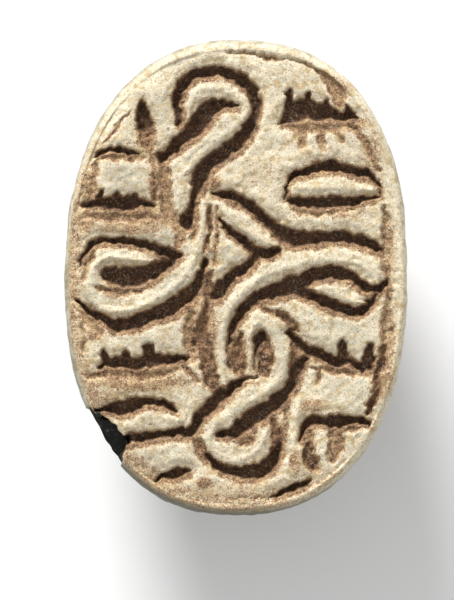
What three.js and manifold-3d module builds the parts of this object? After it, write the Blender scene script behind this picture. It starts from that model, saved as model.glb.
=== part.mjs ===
// Scarab seal: an oval base plate carved on its flat face, with the beetle it rides on underneath.
// It lies on the crest of the beetle's back, carved face up, the beetle's head towards +Y.
import * as THREE from "three";
import { mergeVertices } from "three/addons/utils/BufferGeometryUtils.js";
import Module from "manifold-3d";

const wasm = await Module();
wasm.setup();

// Driving sizes in millimetres
const FACE_WIDTH = 13.0;
const FACE_LENGTH = 18.0;
const SEAL_HEIGHT = 8.0;
const PLATE_THICKNESS = 1.4;
const LEG_BAND = 2.6;
const BORE_DIAMETER = 1.9;
const DEEP_CUT = 0.6;
const TOOTH_CUT = 0.42;
const GROUND_CUT = 0.34;
const BORDER_CUT = 0.18;
const CHIP_DEPTH = 1.05;
const LEDGE_DEPTH = 1.7;
const CREST_FLAT = 0.16;
const BACK_LINE_WIDTH = 0.34;
const BACK_LINE_DEPTH = 0.2;
const LEG_CUT_WIDTH = 0.45;
const LEG_CUT_DEPTH = 0.35;

// Form of the body, as shares of the face's half width and half length
const OUTLINE_POWERS = [2.43, 2.24, 2.25, 2.31];
const ROUND_STEPS = 72;
const DOME_REACH = 0.86;
const DOME_STEPS = 7;
const WAIST_REACH = 0.84;
const LEG_REACH = 0.965;
const FACE_REACH = 0.96;
const HEAD_FALL = 0.3;
const TAIL_FALL = 0.14;

// A cut's floor as a share of its width, and how far each cutting shape stands clear of the surface
const FACE_FLOOR_SHARE = 0.62;
const BEETLE_FLOOR_SHARE = 0.55;
const FACE_LIFT = 0.1;
const BEETLE_LIFT = 0.28;
const CLEARANCE = 1.2;

// The carving is drawn on a grid of small squares: the grid's place at the middle of the face, and how
// many squares the face is wide and long
const GRID_CENTRE = [235, 275.8];
const GRID_WIDTH = 343;
const GRID_LENGTH = 478;

const STONE = { color: 0xd8cbb0, roughness: 0.72, metalness: 0 };

// Strokes of the carving: stations of grid x, grid y (downwards) and width of the cut
const DEEP_STROKES = {
  upperScrollOuter: [[178, 120, 10], [176, 92, 13], [195, 72, 12], [235, 73, 14], [256, 98, 12],
    [246, 127, 15], [220, 150, 18], [197, 178, 21], [187, 203, 14], [185, 219, 16]],
  upperScrollInner: [[238, 103, 5], [215, 104, 15], [197, 120, 21], [175, 143, 15], [160, 157, 13]],
  leftScrollAbove: [[80, 263, 4], [90, 242, 9], [110, 238, 9], [150, 246, 10], [179, 253, 9]],
  leftScrollInner: [[103, 270, 11], [122, 275, 24], [145, 273, 20], [176, 254, 10]],
  leftScrollBelow: [[77, 297, 4], [105, 318, 12], [135, 320, 16], [172, 305, 17], [195, 283, 15],
    [205, 258, 8]],
  crossStrandAbove: [[211, 190, 4], [240, 199, 12], [270, 222, 15], [291, 236, 17], [337, 235, 13],
    [379, 247, 8]],
  crossStrandBelow: [[220, 218, 6], [242, 239, 11], [262, 250, 13], [276, 247, 9]],
  lozengeBelow: [[252, 250, 9], [240, 267, 13], [214, 294, 15]],
  rightScrollInner: [[386, 281, 5], [365, 286, 10], [330, 270, 15], [300, 280, 21], [270, 290, 17],
    [241, 308, 12], [228, 336, 7], [228, 366, 5]],
  leafBelow: [[294, 289, 13], [325, 300, 14], [354, 309, 13], [376, 290, 6]],
  rightTeeth: [[288, 330, 9], [307, 348, 13], [333, 360, 13], [362, 365, 11], [374, 355, 8]],
  lowerScrollAbove: [[256, 376, 4], [226, 389, 14], [198, 417, 14], [185, 432, 9]],
  lowerScrollBelow: [[304, 357, 9], [291, 383, 14], [275, 404, 17], [241, 425, 18], [213, 433, 7]],
  lowerScrollHook: [[281, 443, 9], [270, 461, 18], [240, 471, 14], [207, 452, 8]],
  insideLowerScroll: [[262, 329, 6], [257, 347, 8], [257, 371, 4]],
  leftBar: [[129, 438, 8], [150, 434, 12], [193, 429, 9]],
  leftLid: [[92, 409, 5], [123, 403, 16], [158, 400, 11], [177, 409, 5]],
  leftTick: [[154, 479, 5], [178, 471, 12], [188, 470, 6]],
  lowerLeftTeeth: [[95, 364, 6], [120, 361, 14], [152, 358, 16], [187, 356, 6]],
  upperLeftTeeth: [[82, 204, 7], [118, 200, 19], [147, 197, 6]],
  upperLeftLid: [[90, 156, 4], [121, 147, 9], [138, 152, 4]],
  upperPost: [[141, 96, 9], [144, 125, 19]],
  upperRightTeeth: [[278, 122, 6], [298, 109, 22], [326, 109, 17], [360, 116, 6]],
  lensAbove: [[283, 195, 5], [291, 172, 9], [330, 163, 14], [368, 174, 10], [379, 194, 5]],
  lensBelow: [[288, 198, 7], [315, 201, 13], [348, 200, 12], [376, 194, 4]],
  arch: [[299, 437, 5], [308, 419, 11], [335, 419, 15], [364, 418, 6]],
  footTick: [[269, 495, 4], [291, 486, 9], [309, 477, 5]],
};

// Short notches: foot, tip and width on the grid
const TEETH = [
  [[106, 357], [105, 349], 9],
  [[127, 357], [126, 349], 9],
  [[149, 355], [148, 346], 15],
  [[100, 197], [100, 184], 9],
  [[117, 197], [116, 189], 10],
  [[133, 198], [134, 191], 10],
  [[290, 106], [289, 89], 10],
  [[308, 106], [310, 93], 9],
  [[346, 112], [345, 105], 8],
  [[342, 357], [343, 340], 11],
  [[369, 357], [371, 345], 12],
];

// Lowered ground between the raised forms
const GROUND_STROKES = {
  underUpperPost: [[144, 120, 18], [145, 146, 14]],
  besideBlock: [[158, 164, 10], [160, 196, 13], [170, 221, 13], [189, 225, 9]],
  underUpperLeftTeeth: [[84, 212, 8], [120, 214, 10], [158, 214, 10]],
  besideLeftScroll: [[208, 197, 8], [209, 225, 10], [204, 254, 8]],
  insideLeftScroll: [[100, 286, 8], [120, 291, 10], [148, 286, 5]],
  besideRightScroll: [[205, 286, 18], [200, 325, 21], [208, 366, 17], [214, 388, 11]],
  rightOfLowerBlock: [[190, 310, 10], [187, 335, 14], [193, 356, 12]],
  underLowerLeftTeeth: [[90, 374, 8], [140, 374, 12], [187, 363, 13]],
  betweenScrolls: [[240, 318, 8], [237, 345, 17], [240, 371, 10]],
  insideLowerScroll: [[262, 334, 12], [265, 355, 18], [262, 372, 12]],
  aboveRightTeeth: [[263, 307, 7], [284, 321, 14], [297, 344, 17], [298, 355, 14]],
  underUpperRightTeeth: [[281, 124, 8], [320, 126, 13], [354, 127, 10], [369, 150, 9], [376, 166, 9]],
  lowerToothLeft: [[299, 128, 13], [300, 143, 9]],
  lowerToothMiddle: [[319, 128, 12], [322, 145, 9]],
  lowerToothRight: [[336, 129, 9], [341, 138, 7]],
  insideHook: [[250, 430, 12], [240, 444, 6]],
  besideLowerHook: [[266, 414, 7], [279, 430, 13], [278, 446, 12]],
  leftOfHook: [[198, 437, 13], [207, 462, 11]],
  leftOfBar: [[309, 433, 12], [310, 462, 15]],
  rightOfBar: [[340, 430, 15], [335, 457, 11]],
  underRightTeeth: [[310, 366, 6], [350, 371, 10], [375, 386, 12], [366, 424, 6]],
};

const BORDER_STROKES = {
  top: [[162, 67, 4], [200, 54, 4], [268, 55, 7], [322, 71, 6]],
  right: [[381, 206, 6], [386, 240, 13], [387, 292, 8], [385, 334, 13], [381, 366, 11]],
  leftUpper: [[92, 165, 4], [76, 205, 6], [72, 233, 5]],
  leftLower: [[80, 318, 7], [84, 350, 6]],
};

// The broken piece of the rim at the lower left, on the grid: the break at the face, and the lower
// break that leaves a ledge inside it
const CHIP_EDGE = [[84, 404], [100, 416], [117, 425], [128, 442], [127, 448], [119, 468], [96, 470], [76, 436]];
const LEDGE_EDGE = [[84, 399], [124, 468], [96, 474], [68, 436]];

const halfWidth = FACE_WIDTH / 2;
const halfLength = FACE_LENGTH / 2;
const plateFoot = SEAL_HEIGHT - PLATE_THICKNESS;
const legFoot = plateFoot - LEG_BAND;

function solid(geometry) {
  const bare = geometry.index ? geometry.clone() : geometry;
  bare.deleteAttribute("normal");
  bare.deleteAttribute("uv");
  const merged = mergeVertices(bare);
  const corners = merged.index.array;
  const kept = [];
  for (let i = 0; i < corners.length; i += 3) {
    const [a, b, c] = corners.slice(i, i + 3);
    if (a !== b && b !== c && c !== a) {
      kept.push(a, b, c);
    }
  }
  const mesh = new wasm.Mesh({
    numProp: 3,
    vertProperties: new Float32Array(merged.attributes.position.array),
    triVerts: new Uint32Array(kept),
  });
  mesh.merge();
  return new wasm.Manifold(mesh);
}

function surface(body) {
  const mesh = body.getMesh();
  const geometry = new THREE.BufferGeometry();
  geometry.setAttribute("position", new THREE.BufferAttribute(mesh.vertProperties, mesh.numProp));
  geometry.setIndex(new THREE.BufferAttribute(mesh.triVerts, 1));
  geometry.computeVertexNormals();
  return geometry;
}

function move(geometry, place) {
  const spots = geometry.attributes.position;
  const spot = new THREE.Vector3();
  for (let i = 0; i < spots.count; i += 1) {
    spot.fromBufferAttribute(spots, i);
    const moved = place(spot);
    spots.setXYZ(i, moved.x, moved.y, moved.z);
  }
  return geometry;
}

// How far the oval bulges past an ellipse in a direction, each quarter with its own power
function bulge(across, along) {
  const turn = Math.atan2(along, across);
  const quarter = Math.floor(((turn + 2 * Math.PI) % (2 * Math.PI)) / (Math.PI / 2));
  const power = OUTLINE_POWERS[quarter];
  const sum = Math.abs(Math.cos(turn)) ** power + Math.abs(Math.sin(turn)) ** power;
  return sum ** (-1 / power);
}

// The back falls towards the head and, less, towards the tail
function fall(along) {
  const head = THREE.MathUtils.smoothstep(along, 0.3, 1.0);
  const tail = THREE.MathUtils.smoothstep(-along, 0.45, 1.0);
  return 1 - HEAD_FALL * head - TAIL_FALL * tail;
}

function settle(along, height) {
  return height < plateFoot ? plateFoot - (plateFoot - height) * fall(along) : height;
}

function domeHeight(reach) {
  const rise = legFoot + CREST_FLAT;
  const share = Math.min(reach / DOME_REACH, 1);
  return Math.max(rise * (1 - Math.sqrt(1 - share * share)) - CREST_FLAT, 0);
}

function bodyProfile() {
  const rise = legFoot + CREST_FLAT;
  const start = Math.acos(1 - CREST_FLAT / rise);
  const profile = [new THREE.Vector2(0, 0)];
  for (let i = 0; i <= DOME_STEPS; i += 1) {
    const turn = THREE.MathUtils.lerp(start, Math.PI / 2, i / DOME_STEPS);
    profile.push(new THREE.Vector2(DOME_REACH * Math.sin(turn), rise * (1 - Math.cos(turn)) - CREST_FLAT));
  }
  const legs = (reach, share) => new THREE.Vector2(reach, legFoot + share * LEG_BAND);
  const plate = (reach, share) => new THREE.Vector2(reach, plateFoot + share * PLATE_THICKNESS);
  profile.push(legs(WAIST_REACH, 0.06), legs(0.92, 0.14), legs(LEG_REACH, 0.36), legs(LEG_REACH, 0.66));
  profile.push(legs(0.93, 0.84), legs(WAIST_REACH, 0.9), legs(0.85, 0.97), plate(0.95, 0.04), plate(0.99, 0.2));
  profile.push(plate(1, 0.48), plate(0.995, 0.76), plate(0.982, 0.93), plate(FACE_REACH, 1));
  profile.push(new THREE.Vector2(0, SEAL_HEIGHT));
  return profile;
}

function body() {
  const blank = new THREE.LatheGeometry(bodyProfile(), ROUND_STEPS).rotateX(Math.PI / 2);
  return move(blank, ({ x, y, z }) => {
    const swell = bulge(x, y);
    return new THREE.Vector3(x * swell * halfWidth, y * swell * halfLength, settle(y, z));
  });
}

function onFace(across, down, height) {
  const x = ((across - GRID_CENTRE[0]) * FACE_WIDTH) / GRID_WIDTH;
  const y = ((GRID_CENTRE[1] - down) * FACE_LENGTH) / GRID_LENGTH;
  return new THREE.Vector3(x, y, height);
}

// A cut that runs along a curve, wide at the surface and narrower at its floor
function runningCut({ spine, widths, depth, lift, outwards, floorShare, steps }) {
  const path = new THREE.CatmullRomCurve3(spine, false, "centripetal");
  const stations = widths.length - 1;
  const bar = new THREE.BoxGeometry(1, 1, 1, 1, 1, steps);
  return move(bar, ({ x, y, z }) => {
    const along = z + 0.5;
    const centre = path.getPoint(along);
    const up = outwards(centre);
    const side = up.clone().cross(path.getTangent(along)).normalize();
    const at = along * stations;
    const near = Math.min(Math.floor(at), stations - 1);
    const width = THREE.MathUtils.lerp(widths[near], widths[near + 1], at - near);
    const atFloor = y < 0;
    centre.addScaledVector(side, x * width * (atFloor ? floorShare : 1 + (1 - floorShare) * lift / depth));
    return centre.addScaledVector(up, atFloor ? -depth : lift);
  });
}

function faceCut(stroke, depth) {
  return runningCut({
    spine: stroke.map(([across, down]) => onFace(across, down, SEAL_HEIGHT)),
    widths: stroke.map((station) => (station[2] * FACE_WIDTH) / GRID_WIDTH),
    depth,
    lift: FACE_LIFT,
    outwards: () => new THREE.Vector3(0, 0, 1),
    floorShare: FACE_FLOOR_SHARE,
    steps: (stroke.length - 1) * 2,
  });
}

// A notch is a third narrower at its tip than at its foot
function toothCut([foot, tip, width]) {
  return faceCut([[...foot, width], [...tip, (width * 2) / 3]], TOOTH_CUT);
}

function onBack(across, along) {
  const swell = bulge(across, along);
  const reach = Math.hypot(across, along) / swell;
  return new THREE.Vector3(across * halfWidth, along * halfLength, settle(along, domeHeight(reach)));
}

function fromBack(spot) {
  const x = spot.x / halfWidth ** 2;
  const y = spot.y / halfLength ** 2;
  const z = (spot.z - legFoot) / legFoot ** 2;
  return new THREE.Vector3(x, y, z).normalize();
}

function backCut(points) {
  return runningCut({
    spine: points.map(([across, along]) => onBack(across, along)),
    widths: points.map(() => BACK_LINE_WIDTH),
    depth: BACK_LINE_DEPTH,
    lift: BEETLE_LIFT,
    outwards: fromBack,
    floorShare: BEETLE_FLOOR_SHARE,
    steps: (points.length - 1) * 3,
  });
}

// A slanting cut on the side that parts two of the beetle's legs
function legCut(side, [lowAngle, highAngle]) {
  const at = (angle, share) => {
    const turn = THREE.MathUtils.degToRad(angle);
    const [across, along] = [side * Math.cos(turn), Math.sin(turn)];
    const swell = bulge(across, along) * LEG_REACH;
    const height = settle(along, legFoot + share * LEG_BAND);
    return new THREE.Vector3(across * swell * halfWidth, along * swell * halfLength, height);
  };
  return runningCut({
    spine: [at(lowAngle, 0), at((lowAngle + highAngle) / 2, 0.5), at(highAngle, 0.98)],
    widths: [LEG_CUT_WIDTH, LEG_CUT_WIDTH, LEG_CUT_WIDTH],
    depth: LEG_CUT_DEPTH,
    lift: BEETLE_LIFT,
    outwards: (spot) => new THREE.Vector3(spot.x / halfWidth ** 2, spot.y / halfLength ** 2, 0).normalize(),
    floorShare: BEETLE_FLOOR_SHARE,
    steps: 6,
  });
}

function beetleCuts() {
  const wingLine = [[0, -0.84], [0, -0.5], [0, -0.1], [0, 0.2]];
  const shoulderLine = [[-0.8, 0.2], [-0.4, 0.22], [0, 0.2], [0.4, 0.22], [0.8, 0.2]];
  const neckLine = [[-0.52, 0.6], [-0.25, 0.54], [0, 0.52], [0.25, 0.54], [0.52, 0.6]];
  const cheekLine = (side) => [[side * 0.17, 0.8], [side * 0.2, 0.66], [side * 0.16, 0.55]];
  const legLines = [[62, 40], [34, 14], [6, -10], [-18, -36], [-44, -60]];
  const cuts = [wingLine, shoulderLine, neckLine, cheekLine(-1), cheekLine(1)].map(backCut);
  for (const side of [-1, 1]) {
    cuts.push(...legLines.map((line) => legCut(side, line)));
  }
  return cuts;
}

function bore() {
  const rod = new THREE.CylinderGeometry(BORE_DIAMETER / 2, BORE_DIAMETER / 2, FACE_LENGTH * CLEARANCE, 24);
  return rod.translate(0, 0, plateFoot - LEG_BAND / 2);
}

function chip(corners, depth) {
  const edge = corners.map(([across, down]) => onFace(across, down, 0));
  const outline = new THREE.Shape(edge.map((corner) => new THREE.Vector2(corner.x, corner.y)));
  const block = new THREE.ExtrudeGeometry(outline, { depth: depth * CLEARANCE, bevelEnabled: false });
  return block.translate(0, 0, SEAL_HEIGHT - depth);
}

function carvedSeal() {
  const cuts = [
    ...Object.values(DEEP_STROKES).map((stroke) => faceCut(stroke, DEEP_CUT)),
    ...TEETH.map(toothCut),
    ...Object.values(GROUND_STROKES).map((stroke) => faceCut(stroke, GROUND_CUT)),
    ...Object.values(BORDER_STROKES).map((stroke) => faceCut(stroke, BORDER_CUT)),
    ...beetleCuts(),
    bore(),
    chip(CHIP_EDGE, CHIP_DEPTH),
    chip(LEDGE_EDGE, LEDGE_DEPTH),
  ];
  return cuts.reduce((whole, cut) => whole.subtract(solid(cut)), solid(body()));
}

const seal = new THREE.Mesh(surface(carvedSeal()), new THREE.MeshStandardMaterial(STONE));
seal.name = "scarab";

const group = new THREE.Group();
group.add(seal);

export default group;
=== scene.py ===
"""Dresses the carved scarab seal: one worn stone with its sunk carving, and the stage that it is seen on."""

import math

import bmesh
import bpy
import numpy as np
from bpy.props import FloatProperty, FloatVectorProperty, IntProperty, PointerProperty
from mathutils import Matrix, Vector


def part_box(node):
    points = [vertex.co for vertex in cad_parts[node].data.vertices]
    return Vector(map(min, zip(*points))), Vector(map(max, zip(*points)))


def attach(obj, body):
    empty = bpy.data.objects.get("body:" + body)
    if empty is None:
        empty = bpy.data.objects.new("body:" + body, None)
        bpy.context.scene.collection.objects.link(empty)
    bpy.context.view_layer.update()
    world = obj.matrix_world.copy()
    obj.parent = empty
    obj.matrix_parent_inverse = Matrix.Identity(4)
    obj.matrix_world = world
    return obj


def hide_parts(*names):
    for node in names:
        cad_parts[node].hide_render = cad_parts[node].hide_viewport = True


bl_info = {
    "name": "Carved Scarab Seal",
    "version": (1, 0, 0),
    "blender": (4, 5, 0),
    "location": "View3D > Sidebar > Scarab Seal",
    "description": "Carves a worn stone scarab seal and sets it on a pale floor in soft light",
    "category": "Object",
}

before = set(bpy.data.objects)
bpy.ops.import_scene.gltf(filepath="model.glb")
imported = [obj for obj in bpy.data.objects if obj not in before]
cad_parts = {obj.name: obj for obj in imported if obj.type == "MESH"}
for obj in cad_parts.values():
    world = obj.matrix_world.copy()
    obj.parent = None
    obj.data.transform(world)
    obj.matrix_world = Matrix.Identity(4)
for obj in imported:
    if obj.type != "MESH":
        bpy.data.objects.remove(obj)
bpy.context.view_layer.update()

MM = 0.001
LOW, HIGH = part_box("scarab")
FACE_WIDTH = (HIGH[0] - LOW[0]) / MM
FACE_LENGTH = (HIGH[1] - LOW[1]) / MM
SEAL_HEIGHT = (HIGH[2] - LOW[2]) / MM
HALF = np.array([FACE_WIDTH / 2, FACE_LENGTH / 2])

# Body, in millimetres and in shares of the half width and half length, as the solid has them
PLATE_THICKNESS = 1.4
LEG_BAND = 2.6
CREST_FLAT = 0.16
DOME_REACH = 0.86
LEG_REACH = 0.965
FACE_REACH = 0.96
HEAD_FALL = 0.3
TAIL_FALL = 0.14
PLATE_FOOT = SEAL_HEIGHT - PLATE_THICKNESS
LEG_FOOT = PLATE_FOOT - LEG_BAND

# The outline's power in each quarter: upper right, upper left, lower left and lower right
OUTLINE_POWERS = (2.43, 2.24, 2.25, 2.31)

# The side from the face down: share of the oval, and share of the plate's or the leg band's height
WIDEST = 0.47
PLATE_PROFILE = [
    (FACE_REACH, 1), (0.972, 0.975), (0.984, 0.91), (0.993, 0.79), (0.998, 0.63), (1, WIDEST), (0.997, 0.32),
    (0.988, 0.19), (0.965, 0.08), (0.93, 0.02), (0.88, 0),
]
LEG_PROFILE = [
    (0.85, 0.985), (0.838, 0.95), (0.843, 0.915), (0.885, 0.875), (0.93, 0.83), (0.955, 0.76),
    (LEG_REACH, 0.66), (0.967, 0.5), (LEG_REACH, 0.36), (0.945, 0.22), (0.91, 0.12), (0.86, 0.065),
    (0.838, 0.04), (0.84, 0.015),
]

# Rows of the mesh down the side
SIDE_LEVELS = 48

# The face's worn edge: where it starts, as a share of the oval, its depth all round and what the left adds
RIM_START = 0.84
RIM_WEAR = 0.05
RIM_WEAR_LEFT = 0.25

# The carving fades out over this share of the oval at the face's edge
CARVING_FADE = 0.012

# The face's edge beside the deep cuts: wear in millimetres, and the grid squares between which it fades out
EDGE_WEAR = (0.07, 0.0, 9.0)

# Unevenness in layers: height in millimetres, size of the forms in millimetres and random seed
CUT_FLOOR = [(0.07, 0.3, 21), (0.08, 0.13, 22)]
FACE_WEAR = [(0.05, 1.9, 31), (0.035, 0.6, 32), (0.02, 0.2, 33)]
ROPE_WEAR = [(0.03, 0.5, 36), (0.02, 0.17, 37)]
SIDE_WEAR = [(0.03, 0.9, 61), (0.02, 0.3, 62), (0.01, 0.14, 63)]
BREAK_ROUGHNESS = [(0.05, 0.2, 64)]

# How deep the side and the back are worn in all, in millimetres
SIDE_WEAR_DEPTH = 0.03

# The nicks in the face: the layers that place them, as bare shares, and their depth in millimetres
NICKS = [(1.0, 0.23, 34), (0.35, 1.1, 35)]
NICK_DEPTH = 0.03

# The ragged line of the break, in layers whose heights are shares of the oval
BREAK_RAGGED = [(0.012, 0.35, 41), (0.006, 0.12, 42)]

# The unsteady hand: size of the swings in millimetres and a random seed for each axis
SLOW_SWING = (0.55, (11, 12))
QUICK_SWING = (0.17, (13, 14))
BEETLE_SWING = (0.8, (51, 52, 53))

# How far the beetle's lines stray, in millimetres
BEETLE_WANDER = 0.05

# The beetle's lines: width and depth of the cut in millimetres
BACK_LINE = (0.34, 0.2)
CHEEK_LINE = (0.3, 0.18)
LEG_CUT = (0.42, 0.33)
HAIR_LINE = (0.16, 0.09)

# Degrees from a leg's cut to the hair line beside it, and the angles that each leg's cut lies between
HAIR_TURN = 9
LEG_ANGLES = ((62, 40), (34, 14), (6, -10), (-18, -36), (-44, -60))

# The carving is drawn on a grid, x to the right and y down, that the face fills from edge to edge
GRID_CENTRE = np.array([235.0, 275.8])
GRID_SPAN = np.array([343.0, 478.0])

# Past this many grid squares a stroke is out of reach
FAR = 40.0

# How far the hand strays along the cuts and along the ropes, slowly and quickly, in grid squares
CUT_HAND = (1.2, 1.9)
ROPE_HAND = (0.9, 0.7)

# Strokes of the carving: stations of grid x, grid y and width of the cut
DEEP_STROKES = {
    "upper_scroll_outer": [
        (179, 119, 9), (177, 108, 12), (177, 97, 12), (180, 87, 12), (186, 78, 12), (195, 72, 12),
        (208, 69, 12), (222, 70, 13), (234, 73, 14), (243, 80, 14), (250, 87, 13), (255, 98, 12),
        (255, 108, 12), (252, 118, 13), (246, 127, 16), (240, 135, 17), (232, 143, 18), (220, 150, 18),
        (210, 158, 18), (202, 167, 20), (199, 178, 18), (195, 189, 10), (192, 201, 8), (188, 212, 13),
        (186, 220, 17),
    ],
    "upper_scroll_inner": [
        (237, 103, 5), (229, 102, 8), (220, 102, 12), (212, 105, 17), (204, 111, 21), (199, 121, 23),
        (191, 129, 18), (183, 135, 15), (175, 143, 15), (168, 150, 13), (161, 154, 15),
    ],
    "left_scroll_above": [
        (80, 263, 4), (83, 253, 6), (89, 243, 9), (98, 238, 9), (110, 238, 9), (125, 239, 10),
        (140, 241, 11), (155, 245, 12), (168, 250, 13), (178, 253, 11),
    ],
    "left_scroll_inner": [
        (104, 271, 9), (111, 273, 18), (120, 275, 23), (132, 275, 24), (145, 272, 21), (156, 266, 18),
        (168, 260, 13), (176, 254, 9),
    ],
    "left_scroll_below": [
        (77, 297, 4), (83, 303, 8), (92, 310, 9), (105, 318, 12), (115, 322, 15), (135, 319, 17),
        (155, 311, 17), (172, 304, 18), (185, 295, 17), (195, 283, 15), (201, 272, 12), (205, 258, 7),
    ],
    "cross_strand_above": [
        (211, 190, 5), (220, 192, 9), (230, 193, 11), (240, 198, 13), (250, 205, 13), (260, 213, 13),
        (270, 222, 15), (280, 230, 17), (291, 236, 17), (304, 236, 17), (320, 235, 15), (337, 234, 14),
        (350, 236, 13), (362, 240, 14), (372, 244, 12), (379, 247, 8),
    ],
    "cross_strand_below": [
        (220, 218, 6), (226, 226, 9), (234, 233, 10), (242, 239, 11), (250, 245, 12), (258, 249, 13),
        (266, 250, 13), (275, 247, 10),
    ],
    "lozenge_below": [
        (255, 252, 10), (250, 260, 13), (240, 267, 13), (230, 274, 12), (222, 284, 15), (214, 293, 15),
    ],
    "right_scroll_inner": [
        (386, 279, 7), (380, 283, 11), (371, 286, 10), (361, 283, 10), (350, 276, 12), (338, 270, 15),
        (325, 270, 16), (312, 273, 18), (300, 280, 21), (288, 284, 22), (275, 289, 18), (262, 293, 14),
        (248, 300, 13), (241, 308, 12), (236, 316, 11), (231, 325, 10), (228, 336, 7), (227, 350, 5),
        (228, 366, 4),
    ],
    "leaf_below": [
        (296, 289, 13), (306, 293, 13), (315, 296, 13), (325, 300, 14), (337, 304, 14), (348, 308, 13),
        (357, 308, 12), (364, 304, 9), (371, 298, 9), (376, 292, 4),
    ],
    "right_teeth": [
        (288, 330, 9), (297, 341, 12), (307, 348, 13), (318, 351, 13), (328, 358, 13), (338, 360, 11),
        (348, 359, 8), (358, 364, 11), (366, 364, 11), (373, 356, 8),
    ],
    "lower_scroll_above": [
        (256, 376, 3), (247, 377, 5), (237, 380, 8), (227, 388, 14), (217, 397, 15), (207, 407, 14),
        (198, 417, 14), (193, 427, 11), (185, 432, 9),
    ],
    "lower_scroll_below": [
        (304, 357, 9), (297, 363, 14), (293, 373, 14), (290, 383, 14), (283, 392, 16), (274, 401, 17),
        (262, 409, 18), (251, 416, 18), (242, 424, 19), (233, 430, 14), (222, 431, 8), (214, 431, 5),
    ],
    "lower_scroll_hook": [
        (278, 444, 9), (275, 453, 14), (269, 461, 17), (261, 467, 18), (249, 470, 16), (236, 470, 13),
        (224, 466, 13), (213, 460, 11), (207, 451, 8),
    ],
    "inside_lower_scroll": [(261, 328, 6), (260, 335, 14), (256, 344, 9), (254, 355, 5), (252, 371, 4)],
    "left_bar": [
        (124, 437, 9), (131, 437, 12), (140, 436, 12), (150, 434, 12), (165, 432, 11), (180, 430, 10),
        (193, 428, 9),
    ],
    "left_lid": [
        (90, 409, 4), (104, 407, 8), (114, 406, 14), (123, 405, 18), (133, 402, 16), (145, 399, 12),
        (158, 399, 10), (168, 403, 9), (177, 408, 5),
    ],
    "left_tick": [(154, 479, 5), (161, 474, 8), (170, 472, 11), (180, 470, 12), (188, 470, 6)],
    "lower_left_teeth": [
        (97, 365, 5), (106, 362, 9), (118, 361, 14), (135, 360, 15), (152, 358, 16), (168, 357, 13),
        (180, 357, 9), (187, 356, 5),
    ],
    "upper_left_teeth": [
        (83, 203, 6), (93, 201, 10), (105, 200, 13), (118, 201, 16), (130, 201, 16), (140, 200, 11),
        (147, 201, 8), (154, 203, 5),
    ],
    "upper_left_lid": [
        (94, 155, 3), (101, 151, 8), (110, 148, 7), (121, 147, 9), (131, 150, 8), (138, 152, 4),
    ],
    "upper_post": [(141, 99, 6), (142, 107, 14), (143, 115, 19), (144, 124, 18)],
    "upper_right_teeth": [
        (279, 121, 6), (289, 112, 18), (299, 107, 24), (312, 109, 21), (326, 110, 15), (338, 113, 12),
        (347, 114, 11), (355, 115, 5),
    ],
    "lens_above": [
        (283, 195, 5), (285, 182, 6), (291, 172, 9), (303, 168, 10), (316, 165, 12), (330, 163, 14),
        (344, 166, 14), (358, 170, 12), (369, 174, 8), (377, 184, 5), (378, 194, 4),
    ],
    "lens_below": [
        (288, 198, 7), (300, 200, 13), (315, 200, 14), (332, 199, 13), (348, 199, 13), (360, 197, 9),
        (370, 195, 7), (376, 194, 4),
    ],
    "arch": [
        (299, 437, 5), (301, 426, 10), (308, 419, 11), (320, 418, 12), (333, 419, 15), (345, 419, 13),
        (355, 419, 10), (363, 419, 9), (369, 421, 6),
    ],
    "foot_tick": [(269, 495, 4), (280, 491, 8), (291, 486, 9), (302, 481, 8), (309, 477, 4)],
}

# Short notches of the toothed bars: foot, tip and width at the tip
TEETH = [
    ((106, 357), (105, 349), 6),
    ((127, 357), (126, 349), 6),
    ((149, 355), (148, 346), 13),
    ((100, 199), (100, 188), 6),
    ((117, 199), (116, 191), 7),
    ((133, 200), (134, 194), 7),
    ((288, 104), (288, 91), 9),
    ((306, 102), (306, 92), 8),
    ((325, 107), (325, 101), 8),
    ((348, 112), (347, 106), 7),
    ((340, 357), (341, 339), 8),
    ((366, 357), (369, 344), 9),
]
TOOTH_FOOT = 12

# Lowered ground between the raised forms, dark with dirt
GROUND_STROKES = {
    "under_upper_post": [(144, 120, 18), (145, 132, 16), (145, 142, 12)],
    "beside_block": [(153, 172, 4), (153, 186, 5), (154, 198, 8)],
    "beside_left_scroll": [(209, 205, 5), (209, 216, 7), (208, 235, 6), (205, 250, 4)],
    "beside_right_scroll": [
        (211, 270, 6), (207, 281, 14), (207, 290, 11), (206, 302, 8), (204, 314, 9), (200, 326, 16),
        (199, 336, 19), (205, 350, 16), (208, 366, 16), (211, 380, 15), (214, 388, 10),
    ],
    "between_scrolls": [(239, 332, 6), (236, 342, 11), (237, 354, 15), (238, 366, 16), (240, 372, 9)],
    "inside_lower_scroll": [(262, 336, 12), (264, 348, 18), (265, 360, 17), (263, 371, 12)],
    "above_right_teeth": [(278, 312, 8), (286, 318, 11), (292, 326, 11)],
    "above_lower_scroll": [(292, 340, 9), (295, 349, 12), (294, 358, 11), (290, 364, 8)],
    "beside_lower_hook": [(271, 418, 7), (275, 427, 12), (276, 436, 13), (275, 446, 12)],
    "left_of_bar": [(306, 440, 8), (307, 453, 13), (310, 465, 12)],
    "beside_right_block": [
        (381, 345, 8), (380, 358, 9), (375, 374, 9), (376, 384, 10), (372, 397, 9), (368, 410, 8),
    ],
}

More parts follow.
